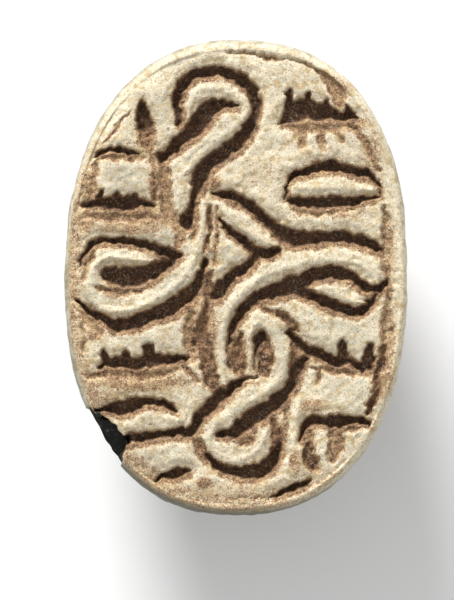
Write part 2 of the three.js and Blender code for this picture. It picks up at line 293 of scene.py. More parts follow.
# Lowered ground that is shallower and paler
PALE_STROKES = {
    "beside_upper_post": [(151, 142, 7), (151, 154, 9), (151, 164, 6)],
    "under_upper_left_lid": [(142, 155, 8), (118, 156, 9), (98, 158, 6)],
    "beside_upper_scroll": [
        (165, 160, 10), (164, 176, 15), (165, 194, 15), (168, 210, 16), (175, 224, 13), (181, 233, 12),
        (177, 245, 10), (176, 254, 6),
    ],
    "inside_upper_scroll": [(185, 117, 5), (184, 104, 6), (188, 93, 4)],
    "right_of_upper_scroll": [(258, 108, 6), (258, 120, 8), (253, 132, 6)],
    "right_of_tail": [(204, 186, 7), (203, 196, 6)],
    "left_of_left_scroll": [(195, 206, 7), (196, 220, 7), (192, 236, 7)],
    "right_of_left_scroll": [(217, 206, 4), (217, 222, 6), (217, 238, 6), (214, 250, 5), (214, 262, 8)],
    "left_of_block": [(96, 162, 8), (94, 178, 9), (91, 192, 10)],
    "under_upper_left_teeth": [(84, 213, 9), (105, 215, 10), (135, 215, 11), (154, 214, 8)],
    "above_left_scroll": [(92, 252, 9), (86, 264, 9), (84, 276, 6)],
    "inside_left_scroll": [(98, 287, 9), (115, 290, 9), (134, 290, 7), (148, 286, 4)],
    "above_left_tail": [(78, 308, 6), (86, 317, 11), (97, 326, 12), (99, 333, 9)],
    "right_of_lower_block": [(190, 310, 9), (187, 326, 12), (188, 342, 13), (193, 356, 12)],
    "under_lower_left_teeth": [(90, 374, 8), (112, 373, 12), (140, 374, 12), (160, 372, 10), (176, 369, 8)],
    "top_of_right_teeth": [(263, 307, 7), (272, 311, 8)],
    "beside_right_teeth": [(292, 332, 8), (296, 341, 9)],
    "inside_hook": [(253, 430, 11), (250, 439, 12), (240, 442, 8)],
    "under_teeth_end": [(182, 366, 8), (191, 371, 8), (198, 379, 6)],
    "beside_cross_strand": [(255, 262, 8), (248, 268, 7)],
    "under_right_strand": [(256, 258, 8), (266, 255, 7), (280, 252, 4)],
    "under_upper_right_teeth": [
        (281, 124, 7), (300, 126, 12), (320, 126, 13), (340, 126, 11), (354, 127, 9), (363, 139, 9),
        (369, 151, 9), (376, 165, 9),
    ],
    "lower_tooth_left": [(299, 128, 13), (300, 143, 9)],
    "lower_tooth_middle": [(319, 128, 12), (322, 145, 9)],
    "lower_tooth_right": [(336, 129, 9), (341, 138, 7)],
    "upper_right_corner": [(322, 72, 9), (331, 84, 16), (339, 98, 16)],
    "under_right_teeth": [(310, 366, 5), (330, 369, 9), (350, 371, 9), (362, 373, 8)],
    "beside_strand": [(318, 368, 9), (317, 382, 7)],
    "left_of_strand": [(284, 407, 8), (287, 418, 6), (285, 432, 4)],
    "left_of_hook": [(198, 440, 12), (201, 451, 13), (207, 463, 9)],
    "top_of_bar": [(308, 430, 12), (307, 444, 15), (309, 456, 16), (312, 467, 14)],
    "right_of_bar": [(332, 428, 13), (334, 441, 19), (331, 456, 12)],
    "under_arch": [(345, 428, 6), (356, 427, 6), (365, 425, 5)],
    "under_left_lid": [(112, 411, 8), (124, 413, 10), (136, 411, 7)],
    "under_lens": [(292, 208, 5), (310, 212, 7), (330, 210, 6), (352, 208, 6)],
    "left_slash": [(101, 145, 3), (115, 126, 5), (130, 109, 3)],
    "under_foot": [(232, 497, 3), (252, 497, 4), (268, 496, 4)],
}

# The shallow line inside the rim
BORDER_STROKES = {
    "top": [
        (226, 49, 4), (238, 50, 5), (252, 53, 5), (268, 55, 6), (288, 57, 3), (308, 64, 5), (322, 71, 6),
    ],
    "right": [
        (381, 206, 6), (383, 220, 10), (386, 236, 13), (385, 254, 12), (385, 268, 12), (387, 284, 8),
        (387, 300, 8), (386, 316, 12), (385, 334, 13), (384, 350, 10), (381, 366, 11),
    ],
    "left_upper": [(83, 184, 2), (76, 206, 4), (72, 232, 4)],
    "left_lower": [(81, 320, 5), (84, 334, 6), (84, 350, 6)],
}

# Raised forms whose tops are rounded like a rope
ROPES = {
    "upper_scroll": [
        (188, 116, 5), (189, 105, 9), (192, 95, 13), (200, 87, 15), (213, 86, 16), (226, 88, 15),
        (238, 94, 13), (245, 104, 9), (244, 113, 9), (235, 121, 14), (222, 131, 17), (208, 143, 17),
        (197, 154, 16), (187, 166, 12), (180, 177, 9), (178, 190, 8), (178, 203, 8), (180, 212, 5),
    ],
    "left_scroll": [
        (202, 200, 6), (202, 220, 7), (198, 240, 10), (192, 258, 13), (183, 273, 14), (171, 286, 14),
        (155, 297, 13), (138, 304, 12), (121, 308, 12), (106, 307, 12), (95, 299, 13), (90, 286, 14),
        (91, 273, 13), (97, 260, 11), (110, 255, 10), (128, 257, 9), (145, 259, 5), (152, 260, 3),
    ],
    "cross_strand": [
        (219, 203, 6), (226, 211, 12), (237, 221, 14), (250, 230, 13), (262, 238, 10), (274, 243, 5),
    ],
    "right_scroll": [
        (224, 386, 7), (221, 368, 11), (221, 350, 12), (221, 333, 12), (224, 316, 12), (231, 302, 14),
        (241, 290, 15), (254, 279, 15), (268, 270, 15), (284, 262, 15), (302, 258, 14), (320, 257, 14),
        (338, 258, 12), (352, 260, 11), (364, 265, 10), (372, 274, 7), (376, 281, 4),
    ],
    "leaf": [(306, 286, 4), (322, 288, 11), (340, 294, 14), (355, 299, 9), (364, 301, 4)],
    "lower_scroll": [
        (248, 372, 4), (248, 356, 8), (248, 341, 9), (250, 328, 10), (258, 319, 12), (269, 325, 14),
        (278, 338, 14), (283, 353, 13), (281, 368, 14), (273, 382, 15), (258, 393, 15), (243, 401, 15),
        (230, 409, 15), (218, 419, 14), (209, 431, 12), (209, 441, 12), (217, 450, 15), (228, 456, 17),
        (240, 456, 17), (250, 452, 14), (258, 445, 12), (263, 436, 11), (265, 427, 8), (263, 420, 4),
    ],
    "strand": [(299, 396, 8), (294, 418, 11), (293, 440, 9), (292, 452, 5)],
    "lens": [(293, 186, 5), (311, 185, 13), (335, 185, 15), (358, 186, 11), (371, 188, 5)],
    "bar": [(317, 430, 5), (318, 440, 7), (320, 452, 7), (321, 461, 5)],
}

# A rope's roundness, its fall in millimetres for each grid square outside it, and where that ends
ROPE_POWER = 2.2
ROPE_FALL = 0.22
ROPE_END = 3.0

# Depth of the paler ground and of the notches, as shares of the lowered ground's
PALE_SHARE = 0.55
TOOTH_SHARE = 1.5

# Width of the walls of each family of cuts, in grid squares
WALLS = {"deep": 4.0, "teeth": 3.0, "ground": 3.5, "pale": 4.0, "border": 3.5}

# Dirt in each family of cuts: strength, and the grid squares from the edge between which it fades out
DIRT = {
    "deep": (0.92, -4.0, 1.0),
    "teeth": (0.9, -3.0, 1.0),
    "ground": (0.66, -2.5, 1.5),
    "pale": (0.46, -3.0, 2.0),
    "border": (0.36, -3.0, 2.0),
}
SLOPE_DIRT = (0.52, -3.0, 2.5)
DIRT_BESIDE = {"deep": (0.16, 0, 9), "ground": (0.2, 0, 7)}
PATCH_DIRT = 0.42
RIM_DIRT = 0.28

# How far a cut's lit lower wall lies from its dark middle, in grid squares
LIT_SLOPE = np.array([1.5, 4.5])

# Patches of the face by their look: grid x, grid y, half width, half height and strength
GREY_PATCHES = [
    (125, 176, 26, 16, 1.0), (105, 226, 16, 10, 0.8), (155, 233, 22, 13, 0.9), (160, 110, 14, 26, 0.5),
    (150, 337, 48, 14, 0.6), (180, 285, 30, 18, 0.6), (95, 290, 14, 20, 0.5), (345, 388, 28, 20, 0.6),
    (375, 395, 12, 18, 0.8), (335, 335, 40, 22, 0.6), (365, 345, 14, 22, 0.7), (225, 330, 10, 50, 0.5),
    (262, 275, 30, 12, 0.4), (205, 120, 36, 40, 0.35), (235, 255, 16, 14, 0.6), (150, 455, 50, 14, 0.4),
    (276, 355, 12, 40, 0.5), (213, 435, 12, 16, 0.4),
]
STAINED_PATCHES = [
    (150, 215, 40, 14, 0.9), (145, 135, 14, 30, 0.8), (87, 184, 9, 24, 0.9), (154, 182, 8, 26, 0.9),
    (205, 330, 14, 50, 1.0), (140, 380, 60, 12, 0.9), (330, 122, 50, 10, 0.9), (70, 300, 12, 150, 0.7),
    (386, 250, 9, 60, 0.6), (380, 375, 16, 26, 0.8), (240, 352, 12, 26, 0.9), (262, 352, 13, 28, 0.9),
    (370, 150, 14, 26, 0.6), (110, 410, 24, 14, 0.6), (330, 210, 50, 8, 0.6), (278, 436, 10, 20, 0.9),
    (294, 460, 7, 16, 0.9), (330, 478, 40, 14, 0.5), (240, 490, 70, 14, 0.5), (118, 290, 18, 8, 0.9),
    (345, 85, 18, 14, 0.6), (110, 395, 30, 8, 0.7), (86, 220, 12, 16, 0.9), (130, 225, 46, 10, 0.8),
    (95, 332, 12, 9, 1.0), (203, 481, 9, 7, 1.3), (312, 404, 20, 9, 0.8), (212, 181, 10, 9, 1.1),
    (258, 170, 22, 20, 0.35), (385, 335, 10, 50, 0.8),
]

# The broken piece of the rim, on the grid: the line of the break at the face, and the ledge left outside it
CHIP_EDGE = [(88, 407), (99, 414), (109, 418), (116, 423), (122, 433), (127, 440), (126, 446), (119, 460)]
LEDGE_EDGE = [(88, 407), (95, 420), (103, 435), (111, 449), (119, 460)]

# The break in millimetres: height of the ledge, reach below the plate and fall of the face
LEDGE_HEIGHT = 0.35
BREAK_BELOW = 0.3
BREAK_FALL = 0.7

# How far below the face the painted shade on the break starts, and how deep the face's own tones reach, in
# millimetres
BREAK_SHADE_START = 0.3
FACE_TONE_DEPTH = 1.1

# Depth of the stone's fine grain in its material, in millimetres
BUMP_DEPTH = 0.16

# Half the side of the floor, in metres
FLOOR_HALF = 0.6

# The photograph's frame and the middle of the face in it, in pixels
PHOTO_SIZE = (454, 600)
FACE_MIDDLE = (236, 278)


def oval_power(across, along):
    """The outline's power in each point's quarter of the oval."""
    right = across >= 0
    upper = np.where(right, OUTLINE_POWERS[0], OUTLINE_POWERS[1])
    lower = np.where(right, OUTLINE_POWERS[3], OUTLINE_POWERS[2])
    return np.where(along >= 0, upper, lower)


def bulge(across, along):
    """How far the oval reaches past an ellipse in each point's direction."""
    turn = np.arctan2(along, across)
    power = oval_power(across, along)
    return (np.abs(np.cos(turn)) ** power + np.abs(np.sin(turn)) ** power) ** (-1 / power)


def smooth(value, low, high):
    """0 below low, 1 above high and an S curve between them."""
    share = np.clip((value - low) / (high - low), 0.0, 1.0)
    return share * share * (3.0 - 2.0 * share)


def fall(along):
    """How much lower the beetle's back is towards its head and its tail."""
    return 1 - HEAD_FALL * smooth(along, 0.3, 1.0) - TAIL_FALL * smooth(-along, 0.45, 1.0)


def settle(along, height):
    """The height after the back has fallen, below the base plate only."""
    return np.where(height < PLATE_FOOT, PLATE_FOOT - (PLATE_FOOT - height) * fall(along), height)


def dome_height(reach):
    """Height of the beetle's back at a share of the oval."""
    rise = LEG_FOOT + CREST_FLAT
    share = np.minimum(reach / DOME_REACH, 1.0)
    return np.maximum(rise * (1 - np.sqrt(1 - share * share)) - CREST_FLAT, 0.0)


def side_profile():
    """Shares of the oval and heights from the face's edge down the side to the edge of the back."""
    line = [(reach, PLATE_FOOT + share * PLATE_THICKNESS) for reach, share in PLATE_PROFILE]
    line += [(reach, LEG_FOOT + share * LEG_BAND) for reach, share in LEG_PROFILE]
    line.append((DOME_REACH, LEG_FOOT))
    line = np.array(line)
    steps = np.hypot(*(np.diff(line, axis=0) * [HALF[0], 1]).T)
    run = np.concatenate([[0], np.cumsum(steps)])
    even = np.linspace(0, run[-1], SIDE_LEVELS + 1)
    return np.interp(even, run, line[:, 0]), np.interp(even, run, line[:, 1])


def noise(spots, cell, seed):
    """A smooth random field from -1 to 1 with forms about one cell across."""
    size = 32
    table = np.random.default_rng(seed).uniform(-1, 1, (size, size, size))
    place = np.asarray(spots, float) / cell
    corner = np.floor(place).astype(int)
    part = place - corner
    part = part * part * (3 - 2 * part)
    total = np.zeros(len(place))
    for dx, dy, dz in np.ndindex(2, 2, 2):
        value = table[(corner[:, 0] + dx) % size, (corner[:, 1] + dy) % size, (corner[:, 2] + dz) % size]
        weight = np.abs(1 - dx - part[:, 0]) * np.abs(1 - dy - part[:, 1]) * np.abs(1 - dz - part[:, 2])
        total += value * weight
    return total


def layered(spots, layers, lift=0):
    """Random fields on top of one another; the first is lifted by that many times its own height."""
    (height, cell, seed), *finer = layers
    total = height * (noise(spots, cell, seed) + lift)
    for height, cell, seed in finer:
        total += height * noise(spots, cell, seed)
    return total


def swing(spots, cell, seeds):
    """A random shift of each spot, with one field for each axis."""
    return np.column_stack([noise(spots, cell, seed) for seed in seeds])


def flattened(spots):
    """The spots with their heights set to zero."""
    return np.column_stack([spots[:, :2], np.zeros(len(spots))])


def to_grid(spots):
    """Places on the face in millimetres as places on the carving's grid."""
    scale = GRID_SPAN / np.array([FACE_WIDTH, -FACE_LENGTH])
    return spots[:, :2] * scale + GRID_CENTRE


def from_grid(places):
    """Places on the carving's grid as shares of the half width and half length."""
    places = np.asarray(places, float)
    return (places[:, :2] - GRID_CENTRE) * np.array([2, -2]) / GRID_SPAN


def smooth_run(stations, steps=8):
    """A Catmull-Rom curve through the stations."""
    knots = np.asarray(stations, float)
    knots = np.vstack([2 * knots[0] - knots[1], knots, 2 * knots[-1] - knots[-2]])
    out = []
    for before, start, end, after in zip(knots, knots[1:], knots[2:], knots[3:]):
        slope = end - before
        bend = 2 * before - 5 * start + 4 * end - after
        twist = 3 * start - before - 3 * end + after
        for step in range(steps):
            t = step / steps
            out.append(0.5 * (2 * start + slope * t + bend * t * t + twist * t ** 3))
    out.append(knots[-2])
    return np.array(out)


def edge_distance(spots, stations, far):
    """Distance of each spot to the edge of a stroke, negative inside, and the stroke's half width there."""
    run = smooth_run(stations)
    line, halves = run[:, :-1], run[:, -1] / 2
    reach = halves.max() + far
    near = np.all((spots > line.min(axis=0) - reach) & (spots < line.max(axis=0) + reach), axis=1)
    nearest = np.full(len(spots), far)
    half_there = np.ones(len(spots))
    picked = spots[near]
    best = np.full(len(picked), far)
    best_half = np.ones(len(picked))
    for start, end, first, last in zip(line, line[1:], halves, halves[1:]):
        step = end - start
        share = np.clip((picked - start) @ step / max(step @ step, 1e-12), 0, 1)
        half = first + (last - first) * share
        away = np.linalg.norm(picked - (start + share[:, None] * step), axis=1) - half
        closer = away < best
        best[closer] = away[closer]
        best_half[closer] = half[closer]
    nearest[near] = best
    half_there[near] = best_half
    return nearest, half_there


def fading(edge, strength, inner, outer):
    """Full strength inside a stroke, fading out between two distances from its edge."""
    return strength * (1 - smooth(edge, inner, outer))


def nearest_edge(spots, strokes):
    """Distance of each spot to the nearest edge of some strokes, negative inside them."""
    nearest = np.full(len(spots), FAR)
    for stations in strokes:
        edge, _ = edge_distance(spots, stations, FAR)
        nearest = np.minimum(nearest, edge)
    return nearest


def family_edges(spots):
    """Distance of each spot to the nearest edge in each family of cuts."""
    families = {
        "deep": DEEP_STROKES.values(),
        "teeth": [[(*foot, TOOTH_FOOT), (*tip, width)] for foot, tip, width in TEETH],
        "ground": GROUND_STROKES.values(),
        "pale": PALE_STROKES.values(),
        "border": BORDER_STROKES.values(),
    }
    return {name: nearest_edge(spots, strokes) for name, strokes in families.items()}


def chip_limit(turn, corners):
    """How far out the stone still reaches in each direction, past the broken piece of the rim."""
    edge = from_grid(corners)
    angles = np.degrees(np.arctan2(edge[:, 1], edge[:, 0])) % 360
    reaches = np.hypot(edge[:, 0], edge[:, 1]) / bulge(edge[:, 0], edge[:, 1])
    return np.interp(turn % 360, angles, reaches, left=2.0, right=2.0)


def hand_grid(spots, slow, quick):
    """Places on the grid, as unsteady as the carver's hand and the worn edges are."""
    flat = flattened(spots)
    return to_grid(spots) + slow * swing(flat, *SLOW_SWING) + quick * swing(flat, *QUICK_SWING)


def carving_drop(spots, sizes):
    """How far the carving lies below the face at each spot of it, in millimetres."""
    flat = flattened(spots)
    edges = family_edges(hand_grid(spots, *CUT_HAND))
    depths = {
        "deep": sizes.deep_cut,
        "teeth": sizes.ground_cut * TOOTH_SHARE,
        "ground": sizes.ground_cut,
        "pale": sizes.ground_cut * PALE_SHARE,
        "border": sizes.border_cut,
    }
    cuts = [depth * smooth(-edges[name], -1.0, WALLS[name]) for name, depth in depths.items()]
    drop = np.maximum.reduce(cuts)
    drop += layered(flat, CUT_FLOOR) * smooth(drop, 0.06, 0.25)
    drop = np.maximum(drop, fading(edges["deep"], *EDGE_WEAR))
    nicks = NICK_DEPTH * smooth(layered(flat, NICKS), 0.62, 0.95)
    drop += (layered(flat, FACE_WEAR, 1) + nicks) * (1 - 0.5 * smooth(drop, 0.1, 0.3))
    steadier = hand_grid(spots, *ROPE_HAND)
    rope_wear = layered(flat, ROPE_WEAR, 1)
    for stations in ROPES.values():
        edge, half = edge_distance(steadier, stations, 6.0)
        across = np.clip(1 + edge / half, 0, 2)
        crown = sizes.rope_round * across ** ROPE_POWER
        rope = np.where(edge < 0, crown, sizes.rope_round + ROPE_FALL * edge) + rope_wear
        drop = np.where(edge < ROPE_END, np.minimum(drop, rope), drop)
    return drop


def rim_wear(across):
    """How far the edge of the face is worn down, most on the left."""
    return RIM_WEAR + RIM_WEAR_LEFT * smooth(-across, 0.1, 0.9)


def rounded_rim(reach, across):
    """How far the face falls away towards its edge, in millimetres."""
    return rim_wear(across) * np.clip((reach - RIM_START) / (FACE_REACH - RIM_START), 0, 1) ** 2


def vertices_in(parts):
    """The vertices among the parts of a bmesh."""
    return [part for part in parts if isinstance(part, bmesh.types.BMVert)]


def grid_shell(cells_across, cells_along):
    """A closed shell of grids: the face at level 0, the side below it, and the back at the last level."""
    shell = bmesh.new()
    bmesh.ops.create_grid(shell, x_segments=cells_across, y_segments=cells_along, size=1.0)
    face = list(shell.faces)
    rim = [edge for edge in shell.edges if edge.is_boundary]
    copy = bmesh.ops.duplicate(shell, geom=shell.verts[:] + shell.edges[:] + shell.faces[:])["geom"]
    back = [item for item in copy if isinstance(item, bmesh.types.BMFace)]
    bmesh.ops.reverse_faces(shell, faces=back)
    bmesh.ops.translate(shell, verts=vertices_in(copy), vec=(0, 0, -SIDE_LEVELS))
    for _ in range(SIDE_LEVELS):
        grown = bmesh.ops.extrude_edge_only(shell, edges=rim)["geom"]
        bmesh.ops.translate(shell, verts=vertices_in(grown), vec=(0, 0, -1))
        rim = [item for item in grown if isinstance(item, bmesh.types.BMEdge) and item.is_boundary]
    bmesh.ops.remove_doubles(shell, verts=shell.verts, dist=1e-5)
    face_edges = {edge for part in face for edge in part.edges}
    bmesh.ops.subdivide_edges(shell, edges=list(face_edges), cuts=1, use_grid_fill=True)
    bmesh.ops.recalc_face_normals(shell, faces=shell.faces)
    return shell


def body_places(square):
    """The vertices' places on the body's plain form, in millimetres, and their shares of the oval."""
    x, y, level = square[:, 0], square[:, 1], -square[:, 2]
    across = x * np.sqrt(1 - y * y / 2)
    along = y * np.sqrt(1 - x * x / 2)
    radius = np.hypot(across, along)
    reaches, heights = side_profile()
    steps = np.arange(SIDE_LEVELS + 1)
    top = level < 0.01
    bottom = level > SIDE_LEVELS - 0.01
    reach = np.interp(level, steps, reaches)
    height = np.interp(level, steps, heights)
    reach = np.where(top, radius * FACE_REACH, np.where(bottom, radius * DOME_REACH, reach))
    height = np.where(bottom, dome_height(reach), height)
    unit = np.maximum(radius, 1e-9)
    swell = bulge(across, along)
    out = np.column_stack([across / unit * reach * swell, along / unit * reach * swell])
    return np.column_stack([out * HALF, settle(out[:, 1], height)]), reach


def break_rim(places, reach):
    """Pulls the plate's rim in where a piece of it is broken away, and tells which places have moved."""
    shares = places[:, :2] / HALF
    turn = np.degrees(np.arctan2(shares[:, 1], shares[:, 0]))
    ledge_top = PLATE_FOOT + LEDGE_HEIGHT
    ledge = places[:, 2] < ledge_top
    ragged = chip_limit(turn, CHIP_EDGE) + layered(places, BREAK_RAGGED)
    limit = np.where(ledge, chip_limit(turn, LEDGE_EDGE), ragged)
    hit = (places[:, 2] > PLATE_FOOT - BREAK_BELOW) & (reach > limit)
    scale = np.where(hit, limit / np.maximum(reach, 1e-9), 1.0)
    places[:, :2] *= scale[:, None]
    on_face = hit & (reach <= FACE_REACH)
    slide = np.clip((reach - limit) / np.maximum(FACE_REACH - limit, 1e-3), 0, 1)
    places[:, 2] = np.where(on_face, places[:, 2] - BREAK_FALL * slide, places[:, 2])
    on_side = hit & (reach > FACE_REACH) & ~ledge
    squeezed = ledge_top + (places[:, 2] - PLATE_FOOT - LEDGE_HEIGHT) * 0.5
    places[:, 2] = np.where(on_side, squeezed, places[:, 2])
    return hit


def on_back(lines):
    """Lines in shares of the half width and half length, laid on the beetle's back in millimetres."""
    shares = np.asarray(lines, float)
    reach = np.hypot(shares[:, 0], shares[:, 1]) / bulge(shares[:, 0], shares[:, 1])
    height = settle(shares[:, 1], dome_height(reach))
    return np.column_stack([shares * HALF, height])


def on_side(points):
    """Lines in angles and shares of the leg band, laid on the beetle's side in millimetres."""
    turns = np.radians([angle for angle, _ in points])
    across, along = np.cos(turns), np.sin(turns)
    swell = bulge(across, along) * LEG_REACH
    shares = np.column_stack([across * swell, along * swell])
    height = settle(shares[:, 1], LEG_FOOT + LEG_BAND * np.array([share for _, share in points]))
    return np.column_stack([shares * HALF, height])


def stroke(line, width, depth):
    """A cut along a line: its stations and its depth."""
    return np.column_stack([line, np.full(len(line), width)]), depth


def beetle_strokes():
    """Lines cut into the beetle: its wing cases, shoulders, head and legs, with their depths."""
    wing = [(0, -0.84), (0, -0.5), (0, -0.1), (0, 0.2)]
    shoulder = [(-0.8, 0.2), (-0.4, 0.22), (0, 0.2), (0.4, 0.22), (0.8, 0.2)]
    neck = [(-0.52, 0.6), (-0.25, 0.54), (0, 0.52), (0.25, 0.54), (0.52, 0.6)]
    strokes = [stroke(on_back(line), *BACK_LINE) for line in (wing, shoulder, neck)]
    for side in (-1, 1):
        cheek = [(side * 0.17, 0.8), (side * 0.2, 0.66), (side * 0.16, 0.55)]
        strokes.append(stroke(on_back(cheek), *CHEEK_LINE))
        for low, high in LEG_ANGLES:
            middle = (low + high) / 2
            leg = [(low, 0.02), (middle, 0.5), (high, 0.98)]
            hair = [(low - HAIR_TURN, 0.2), (middle - HAIR_TURN, 0.5), (high - HAIR_TURN, 0.8)]
            for line, cut in ((leg, LEG_CUT), (hair, HAIR_LINE)):
                turned = [(angle if side > 0 else 180 - angle, share) for angle, share in line]
                strokes.append(stroke(on_side(turned), *cut))
    return strokes


def beetle_drop(places):
    """How deep the beetle's lines are cut at each spot, in millimetres."""
    hand = places + swing(places, *BEETLE_SWING) * BEETLE_WANDER
    total = np.zeros(len(places))
    for stations, depth in beetle_strokes():
        edge, _ = edge_distance(hand, stations, 1.0)
        total = np.maximum(total, depth * smooth(-edge, -0.08, 0.14))
    return total


def bore_rod(diameter):
    """A rod as wide as the piercing, along the seal's length."""
    rod = bmesh.new()
    bmesh.ops.create_cone(rod, cap_ends=True, segments=48, radius1=diameter / 2, radius2=diameter / 2,
                          depth=FACE_LENGTH * 1.2)
    for vertex in rod.verts:
        vertex.co = (vertex.co.x, vertex.co.z, -vertex.co.y + PLATE_FOOT - LEG_BAND / 2)
    bmesh.ops.scale(rod, vec=(MM, MM, MM), verts=rod.verts)
    return mesh_object(rod, "bore_rod")


def mesh_object(shape, name):
    """Turns a bmesh into an object of the scene."""
    mesh = bpy.data.meshes.new(name)
    shape.to_mesh(mesh)
    shape.free()
    made = bpy.data.objects.new(name, mesh)
    bpy.context.scene.collection.objects.link(made)
    return made


def read_vectors(items, name):
    """One vector for each item of a mesh, as rows of an array."""
    flat = np.empty(len(items) * 3, dtype=np.float32)
    items.foreach_get(name, flat)
    return flat.reshape(-1, 3).astype(float)


def write_places(mesh, places):
    """Moves a mesh's vertices."""
    mesh.vertices.foreach_set("co", places.astype(np.float32).ravel())
    mesh.update()


def carve(stone, sizes):
    """Moves the shell's vertices onto the seal's form, with the carving, the beetle and the break cut in."""
    mesh = stone.data
    square = read_vectors(mesh.vertices, "co")
    top = square[:, 2] > -0.01
    places, reach = body_places(square)
    across = places[:, 0] / HALF[0]
    blend = 1 - smooth(reach, FACE_REACH - CARVING_FADE, FACE_REACH)
    places[top, 2] -= carving_drop(places[top], sizes) * blend[top] + rounded_rim(reach[top], across[top])
    widest = PLATE_FOOT + WIDEST * PLATE_THICKNESS
    shoulder = ~top & (places[:, 2] > widest)
    worn_share = rim_wear(across[shoulder]) / (SEAL_HEIGHT - widest)
    places[shoulder, 2] -= (places[shoulder, 2] - widest) * worn_share
    broken = break_rim(places, reach)
    write_places(mesh, places)
    normals = read_vectors(mesh.vertex_normals, "vector")
    beneath = ~top
    cut = np.zeros(len(places))
    cut[beneath] = beetle_drop(places[beneath])
    cut += np.where(beneath, layered(places, SIDE_WEAR) + SIDE_WEAR_DEPTH, 0)
    cut += np.where(broken, layered(places, BREAK_ROUGHNESS), 0)
    crest = places[:, 2] < 0.02
    cut[crest & (beetle_drop(places) < 0.01)] = 0
    write_places(mesh, (places - normals * cut[:, None]) * MM)


def drill(stone, diameter):
    """Cuts the lengthwise piercing through the stone."""
    rod = bore_rod(diameter)
    cutter = stone.modifiers.new("piercing", "BOOLEAN")
    cutter.object = rod
    cutter.operation = "DIFFERENCE"
    cutter.solver = "EXACT"
    drilled = bpy.data.meshes.new_from_object(stone.evaluated_get(bpy.context.evaluated_depsgraph_get()))
    stone.modifiers.clear()
    stone.data = drilled
    bpy.data.objects.remove(rod)


def stamp(mesh, name, values):
    """Stores one number for each vertex, for the stone's material to read."""
    layer = mesh.attributes.new(name, "FLOAT", "POINT")
    layer.data.foreach_set("value", np.asarray(values, dtype=np.float32))


def blobs(grid, spots):
    """Soft oval patches on the face: grid x, grid y, half width, half height and strength."""
    total = np.zeros(len(grid))
    for x, y, wide, high, strength in spots:
        away = np.hypot((grid[:, 0] - x) / wide, (grid[:, 1] - y) / high)
        total = np.maximum(total, strength * (1 - smooth(away, 0.45, 1.25)))
    return total


def rope_marks(grid):
    """Which spots lie on the crown of a raised rope."""
    ropes = np.zeros(len(grid))
    for stations in ROPES.values():
        edge, _ = edge_distance(grid, stations, 10.0)
        ropes = np.maximum(ropes, 1 - smooth(edge, -6.0, -0.5))
    return ropes


def soil_marks(grid, hand, shares, reach):
    """How much dirt and stain there is at each spot of the face, apart from what the ropes shed."""
    edges = family_edges(hand)
    parts = [fading(edges[name], *row) for table in (DIRT, DIRT_BESIDE) for name, row in table.items()]
    parts.append(fading(nearest_edge(hand - LIT_SLOPE, DEEP_STROKES.values()), *SLOPE_DIRT))
    parts.append(PATCH_DIRT * blobs(grid, STAINED_PATCHES))
    to_lower_left = smooth(-shares[:, 0] - 0.9 * shares[:, 1], 0.1, 0.8)
    parts.append(RIM_DIRT * smooth(reach, 0.86, 0.92) * to_lower_left)
    return np.maximum.reduce(parts)


def side_marks(shares, reach):
    """Where the side's tone covers the rim. It starts further out at the right than at the lower left."""
    right = smooth(shares[:, 0], 0.3, 0.8)
    lower_left = smooth(-shares[:, 1] - shares[:, 0], 0.5, 1.1)
    start = 0.968 + 0.014 * right - 0.01 * lower_left
    return smooth(reach, start, start + 0.03)


def paint(mesh):
    """Marks each vertex with what has gathered, worn or broken there, and where shade is painted, for the
    material to read.
    """
    places = read_vectors(mesh.vertices, "co") / MM
    height = places[:, 2]
    shares = places[:, :2] / HALF
    reach = np.hypot(shares[:, 0], shares[:, 1]) / bulge(shares[:, 0], shares[:, 1])
    turn = np.degrees(np.arctan2(shares[:, 1], shares[:, 0])) % 360
    face = (height > SEAL_HEIGHT - FACE_TONE_DEPTH) & (reach < FACE_REACH + 0.02)
    grid = to_grid(places)
    ropes = rope_marks(grid)
    hand = hand_grid(places, *CUT_HAND)
    soil = soil_marks(grid, hand, shares, reach) * (1 - 0.8 * ropes)
    stamp(mesh, "soil", np.where(face, soil, 0))
    stamp(mesh, "rope", ropes * face)
    stamp(mesh, "grey", np.where(face, blobs(grid, GREY_PATCHES), 0))
    stamp(mesh, "side", np.where(height > PLATE_FOOT + 0.6, side_marks(shares, reach), 1))
    stamp(mesh, "hollow", np.where(face, 0, smooth(beetle_drop(places), 0.02, 0.15)))
    # Painted shade: the broken faces of the plate are marked for a near-black tone that stands in for the
    # shadow in the break
    broken = (reach > chip_limit(turn, CHIP_EDGE) - 0.025) & (height < SEAL_HEIGHT - BREAK_SHADE_START)
    stamp(mesh, "shade", broken * smooth(height, PLATE_FOOT + 0.02, PLATE_FOOT + 0.28))
    # Painted shade: the side is darkened towards the tail end, which is turned away from the key light
    stamp(mesh, "tail", smooth(-shares[:, 1], 0.5, 0.9))


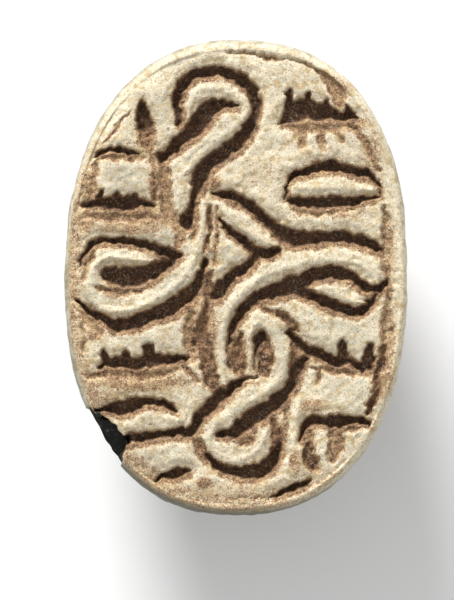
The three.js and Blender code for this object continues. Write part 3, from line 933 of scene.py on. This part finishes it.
class Nodes:
    """A short way to lay out a material's nodes."""

    def __init__(self, material):
        material.use_nodes = True
        self.tree = material.node_tree
        self.tree.nodes.clear()

    def add(self, kind, **settings):
        node = self.tree.nodes.new(kind)
        for name, value in settings.items():
            setattr(node, name, value)
        return node

    def link(self, source, target):
        self.tree.links.new(source, target)

    def mark(self, name):
        return self.add("ShaderNodeAttribute", attribute_name=name).outputs["Fac"]

    def math(self, operation, first, second=0.0, third=0.0):
        node = self.add("ShaderNodeMath", operation=operation)
        for socket, value in zip(node.inputs, (first, second, third)):
            if isinstance(value, (int, float)):
                socket.default_value = value
            else:
                self.link(value, socket)
        return node.outputs[0]

    def ramp(self, value, low, high):
        node = self.add("ShaderNodeMapRange", interpolation_type="SMOOTHSTEP")
        self.link(value, node.inputs["Value"])
        node.inputs["From Min"].default_value = low
        node.inputs["From Max"].default_value = high
        return node.outputs["Result"]

    def mix(self, share, first, second):
        node = self.add("ShaderNodeMix", data_type="RGBA")
        self.link(share, node.inputs["Factor"])
        for socket, value in zip((node.inputs["A"], node.inputs["B"]), (first, second)):
            if isinstance(value, bpy.types.NodeSocket):
                self.link(value, socket)
            else:
                socket.default_value = (*value, 1.0)
        return node.outputs["Result"]

    def scale(self, colour, share):
        node = self.add("ShaderNodeVectorMath", operation="SCALE")
        self.link(colour, node.inputs[0])
        self.link(share, node.inputs["Scale"])
        return node.outputs["Vector"]

    def speckle(self, where, scale, detail=3.0, roughness=0.6):
        node = self.add("ShaderNodeTexNoise")
        self.link(where, node.inputs["Vector"])
        node.inputs["Scale"].default_value = scale
        node.inputs["Detail"].default_value = detail
        node.inputs["Roughness"].default_value = roughness
        return node.outputs["Fac"]


def stone_material(tones):
    """Worn pale stone: cream on top, tan and dirty where it is cut, olive grey down the side, painted shade
    in the break and towards the tail.
    """
    material = bpy.data.materials.new("worn_stone")
    nodes = Nodes(material)
    coords = nodes.add("ShaderNodeTexCoord")
    scaled = nodes.add("ShaderNodeMapping")
    scaled.inputs["Scale"].default_value = (1 / MM, 1 / MM, 1 / MM)
    nodes.link(coords.outputs["Object"], scaled.inputs["Vector"])
    where = scaled.outputs["Vector"]

    broad = nodes.speckle(where, 0.8, 4.0)
    middle = nodes.speckle(where, 2.4, 5.0, 0.65)
    fine = nodes.speckle(where, 6.5, 4.0, 0.7)
    grain = nodes.speckle(where, 15.0, 3.0, 0.7)
    fine_swing = nodes.math("SUBTRACT", fine, 0.5)
    middle_swing = nodes.math("SUBTRACT", middle, 0.5)

    blotches = nodes.math("MULTIPLY_ADD", fine, 0.35, nodes.math("MULTIPLY", middle, 0.65))
    clean = nodes.mix(nodes.ramp(blotches, 0.4, 0.55), tones.cream_shade, tones.cream)
    clean = nodes.mix(nodes.math("MULTIPLY", nodes.mark("rope"), 0.25), clean, tones.cream)
    grey_share = nodes.math("MULTIPLY", nodes.mark("grey"), nodes.ramp(fine, 0.38, 0.56))
    clean = nodes.mix(nodes.math("MULTIPLY", grey_share, 0.75), clean, tones.grey)

    level = nodes.math("MULTIPLY_ADD", fine_swing, 0.9, nodes.mark("soil"))
    level = nodes.math("MULTIPLY_ADD", middle_swing, 0.8, level)
    frayed = nodes.math("MULTIPLY_ADD", nodes.ramp(nodes.mark("soil"), 0.02, 0.3), 0.9, 0.4)
    level = nodes.math("MULTIPLY_ADD", nodes.math("SUBTRACT", grain, 0.5), frayed, level)
    colour = nodes.mix(nodes.ramp(level, 0.12, 0.36), clean, tones.ochre)
    colour = nodes.mix(nodes.ramp(level, 0.3, 0.6), colour, tones.brown)
    colour = nodes.mix(nodes.ramp(level, 0.62, 0.84), colour, tones.dirt)
    gritty = nodes.math("MULTIPLY", nodes.ramp(middle, 0.47, 0.56), nodes.ramp(level, 0.4, 0.62))
    pepper = nodes.math("MULTIPLY", nodes.ramp(nodes.speckle(where, 11.0, 2.0), 0.5, 0.58), gritty)
    colour = nodes.mix(nodes.math("MULTIPLY", pepper, 0.8), colour, tones.pepper)
    crumbs = nodes.math("MULTIPLY", nodes.ramp(nodes.speckle(where, 9.0, 2.0), 0.56, 0.62), gritty)
    crumbs = nodes.math("MULTIPLY", crumbs, nodes.ramp(broad, 0.46, 0.56))
    colour = nodes.mix(nodes.math("MULTIPLY", crumbs, 0.7), colour, tones.crumbs)
    specks = nodes.math("MULTIPLY", nodes.ramp(nodes.speckle(where, 12.0, 2.0), 0.57, 0.62),
                        nodes.ramp(middle, 0.46, 0.54))
    colour = nodes.mix(nodes.math("MULTIPLY", specks, 0.85), colour, tones.brown)

    grit = nodes.speckle(where, 12.0, 4.0, 0.8)
    swing = nodes.math("MULTIPLY_ADD", nodes.ramp(level, 0.1, 0.6), 2.0, 1.9)
    swing = nodes.math("MULTIPLY_ADD", nodes.math("SUBTRACT", grit, 0.5), swing, 0.98)
    colour = nodes.scale(colour, swing)

    side_tone = nodes.mix(nodes.ramp(middle, 0.35, 0.65), tones.side_dark, tones.side)
    # Painted shade: the side tone darkens towards the tail end, away from the key light
    side_tone = nodes.mix(nodes.math("MULTIPLY", nodes.mark("tail"), 0.8), side_tone, tones.side_tail_shade)
    colour = nodes.mix(nodes.mark("side"), colour, side_tone)
    colour = nodes.mix(nodes.math("MULTIPLY", nodes.mark("hollow"), 0.6), colour, tones.dirt)
    pits = nodes.math("MULTIPLY", nodes.ramp(grain, 0.66, 0.74), nodes.ramp(broad, 0.4, 0.55))
    colour = nodes.mix(nodes.math("MULTIPLY", pits, 0.85), colour, tones.dirt)
    # Painted shade: the break's faces go near black, with a little stone showing through
    painted_break_shade = nodes.math("MULTIPLY", nodes.mark("shade"), nodes.ramp(fine, 0.22, 0.44))
    colour = nodes.mix(painted_break_shade, colour, tones.broken)

    height = nodes.math("ADD", nodes.math("MULTIPLY", fine, 0.6), nodes.math("MULTIPLY", grain, 0.5))
    bump = nodes.add("ShaderNodeBump")
    nodes.link(nodes.math("MULTIPLY_ADD", nodes.ramp(level, 0.1, 0.5), 0.5, 0.4), bump.inputs["Strength"])
    bump.inputs["Distance"].default_value = BUMP_DEPTH * MM
    nodes.link(height, bump.inputs["Height"])

    shader = nodes.add("ShaderNodeBsdfPrincipled")
    shader.inputs["Specular IOR Level"].default_value = 0.35
    nodes.link(colour, shader.inputs["Base Color"])
    dry = nodes.math("ADD", nodes.math("MULTIPLY", nodes.mark("soil"), 0.25), 0.55)
    nodes.link(dry, shader.inputs["Roughness"])
    nodes.link(bump.outputs["Normal"], shader.inputs["Normal"])
    output = nodes.add("ShaderNodeOutputMaterial")
    nodes.link(shader.outputs["BSDF"], output.inputs["Surface"])
    return material


def floor_material(tone):
    """A plain, dull floor."""
    material = bpy.data.materials.new("pale_floor")
    nodes = Nodes(material)
    shader = nodes.add("ShaderNodeBsdfPrincipled")
    shader.inputs["Base Color"].default_value = (*tone, 1.0)
    shader.inputs["Roughness"].default_value = 0.95
    shader.inputs["Specular IOR Level"].default_value = 0.0
    output = nodes.add("ShaderNodeOutputMaterial")
    nodes.link(shader.outputs["BSDF"], output.inputs["Surface"])
    return material


def colour_property(name, description, seen, light=1.4):
    """A colour whose default is a tone seen under the stage's light, as the stone's own colour."""
    linear = [((part / 255 + 0.055) / 1.055) ** 2.4 / light for part in seen]
    return FloatVectorProperty(name=name, description=description, subtype="COLOR", size=3, min=0.0, max=1.0,
                               default=linear)


class SealSizes(bpy.types.PropertyGroup):
    """Sizes of the carving, in millimetres."""

    deep_cut: FloatProperty(name="Deep cuts", description="Depth of the deep cuts in millimetres",
                            default=0.55, min=0.1, max=1.0)
    ground_cut: FloatProperty(name="Lowered ground", description="Depth of the lowered ground in millimetres",
                              default=0.28, min=0.05, max=0.6)
    border_cut: FloatProperty(name="Border line", description="Depth of the border line in millimetres",
                              default=0.2, min=0.02, max=0.4)
    rope_round: FloatProperty(name="Rope rounding", default=0.2, min=0.0, max=0.4,
                              description="Fall of a rope from crown to edge in millimetres")
    bore_diameter: FloatProperty(name="Piercing", default=1.9, min=0.5, max=2.5,
                                 description="Diameter of the lengthwise piercing in millimetres")
    cells_across: IntProperty(name="Cells across", description="Cells of the back's grid across the seal",
                              default=100, min=20, max=110)


class SealTones(bpy.types.PropertyGroup):
    """Colours of the stone and of what has gathered on it, and two tones of painted shade."""

    cream: colour_property("Cream", "Clean raised stone", (255, 244, 214))
    cream_shade: colour_property("Cream shade", "Raised stone with a little wear", (212, 187, 142))
    grey: colour_property("Grey patches", "Weathered grey-green patches", (196, 194, 176))
    ochre: colour_property("Ochre", "Stained stone beside the cuts", (204, 168, 124))
    brown: colour_property("Brown", "Dirt on the lowered ground", (162, 124, 90))
    dirt: colour_property("Dirt", "Dirt in the deep cuts", (106, 78, 56))
    pepper: colour_property("Dark grit", "Black grit caught in the cuts", (72, 64, 56))
    crumbs: colour_property("Pale crumbs", "Pale crumbs caught in the cuts", (196, 184, 166))
    side: colour_property("Side", "Stone down the side", (200, 194, 172))
    side_dark: colour_property("Side, darker", "Weathered stone down the side", (150, 142, 118))
    # Painted shade: the darker side tone towards the tail end, away from the key light
    side_tail_shade: colour_property("Side, tail", "Olive stone down the side of the tail", (98, 94, 74))
    # Painted shade: the near-black tone of the break stands in for the shadow there
    broken: colour_property("Break", "Blackened stone where the rim is broken", (18, 16, 14))


class StageSettings(bpy.types.PropertyGroup):
    """Floor, light and camera."""

    floor_tone: FloatVectorProperty(name="Floor", description="Colour of the floor", subtype="COLOR", size=3,
                                    min=0.0, max=1.0, default=(0.85, 0.85, 0.85))
    key_power: FloatProperty(name="Key light", description="Power of the soft light", default=5.0, min=0.0,
                             subtype="POWER", unit="POWER")
    key_size: FloatProperty(name="Key light size", description="Width of the soft light", default=0.23,
                            min=0.01, subtype="DISTANCE", unit="LENGTH")
    fill: FloatProperty(name="Fill", description="Strength of the light from all round", default=0.68,
                        min=0.0)
    camera_distance: FloatProperty(name="Camera distance", default=0.3, min=0.05, subtype="DISTANCE",
                                   unit="LENGTH", description="Distance of the camera above the floor")


class SCARAB_OT_stone(bpy.types.Operator):
    """Carve the seal's stone"""

    bl_idname = "scarab.stone"
    bl_label = "Carve the Stone"

    def execute(self, context):
        sizes = context.scene.seal_sizes
        across = sizes.cells_across
        shell = grid_shell(across, round(across * FACE_LENGTH / FACE_WIDTH))
        stone = mesh_object(shell, "carved_stone")
        carve(stone, sizes)
        drill(stone, sizes.bore_diameter)
        paint(stone.data)
        stone.data.polygons.foreach_set("use_smooth", np.ones(len(stone.data.polygons), dtype=bool))
        stone.data.materials.clear()
        stone.data.materials.append(stone_material(context.scene.seal_tones))
        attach(stone, "root")
        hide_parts("scarab")
        return {"FINISHED"}


class SCARAB_OT_stage(bpy.types.Operator):
    """Lay the floor and place the light and the camera"""

    bl_idname = "scarab.stage"
    bl_label = "Set the Stage"

    def execute(self, context):
        settings = context.scene.seal_stage
        lay_floor(settings)
        place_key_light(settings)
        light_all_round(settings)
        place_camera(settings)
        return {"FINISHED"}


def lay_floor(settings):
    """A flat square that the seal lies on."""
    plate = bmesh.new()
    bmesh.ops.create_grid(plate, x_segments=1, y_segments=1, size=FLOOR_HALF)
    floor = mesh_object(plate, "floor")
    floor.data.materials.append(floor_material(settings.floor_tone))


def place_key_light(settings):
    """A soft light low over the seal's head end, a little to its left."""
    lamp = bpy.data.lights.new("soft_key", "AREA")
    lamp.shape = "DISK"
    lamp.size = settings.key_size
    lamp.energy = settings.key_power
    key = bpy.data.objects.new("soft_key", lamp)
    height = math.radians(25.3)
    left = math.radians(16.6)
    distance = 0.55
    aim = (-math.sin(left) * math.cos(height), math.cos(left) * math.cos(height), math.sin(height))
    key.location = [distance * part for part in aim]
    key.rotation_euler = (-(math.pi / 2 - height), 0.0, left)
    bpy.context.scene.collection.objects.link(key)


def light_all_round(settings):
    """Even white light from every side."""
    world = bpy.data.worlds.new("soft_fill")
    world.use_nodes = True
    background = world.node_tree.nodes["Background"]
    background.inputs["Color"].default_value = (1.0, 1.0, 1.0, 1.0)
    background.inputs["Strength"].default_value = settings.fill
    bpy.context.scene.world = world
    bpy.context.scene.view_settings.view_transform = "Standard"


def place_camera(settings):
    """Looks straight down on the face, so that it fills the frame as in the photograph."""
    millimetres = FACE_LENGTH / GRID_SPAN[1]
    aim_x = (PHOTO_SIZE[0] / 2 - FACE_MIDDLE[0]) * millimetres * MM
    aim_y = (FACE_MIDDLE[1] - PHOTO_SIZE[1] / 2) * millimetres * MM
    lens = bpy.data.cameras.new("view")
    lens.sensor_fit = "VERTICAL"
    lens.sensor_height = 24.0
    seen = PHOTO_SIZE[1] * millimetres * MM
    lens.lens = lens.sensor_height * (settings.camera_distance - SEAL_HEIGHT * MM) / seen
    lens.clip_start = 0.01
    camera = bpy.data.objects.new("view", lens)
    camera.location = (aim_x, aim_y, settings.camera_distance)
    bpy.context.scene.collection.objects.link(camera)
    bpy.context.scene.camera = camera


class SCARAB_PT_panel(bpy.types.Panel):
    """Shows the two buttons and lists the seal's sizes, colours and stage settings"""

    bl_idname = "SCARAB_PT_panel"
    bl_label = "Scarab Seal"
    bl_space_type = "VIEW_3D"
    bl_region_type = "UI"
    bl_category = "Scarab Seal"

    def draw(self, context):
        column = self.layout.column()
        column.operator(SCARAB_OT_stone.bl_idname)
        column.operator(SCARAB_OT_stage.bl_idname)
        for group in (context.scene.seal_sizes, context.scene.seal_tones, context.scene.seal_stage):
            box = self.layout.box()
            for name in group.bl_rna.properties.keys():
                if name not in ("rna_type", "name"):
                    box.prop(group, name)


CLASSES = (SealSizes, SealTones, StageSettings, SCARAB_OT_stone, SCARAB_OT_stage, SCARAB_PT_panel)
GROUPS = {"seal_sizes": SealSizes, "seal_tones": SealTones, "seal_stage": StageSettings}


def register():
    """Adds the operators, the panel and the settings."""
    for part in CLASSES:
        bpy.utils.register_class(part)
    for name, group in GROUPS.items():
        setattr(bpy.types.Scene, name, PointerProperty(type=group))


def unregister():
    """Takes away what register adds."""
    for name in GROUPS:
        delattr(bpy.types.Scene, name)
    for part in reversed(CLASSES):
        bpy.utils.unregister_class(part)


def main():
    """Builds the seal and its stage."""
    register()
    bpy.ops.scarab.stone()
    bpy.ops.scarab.stage()


if __name__ == "__main__":
    main()
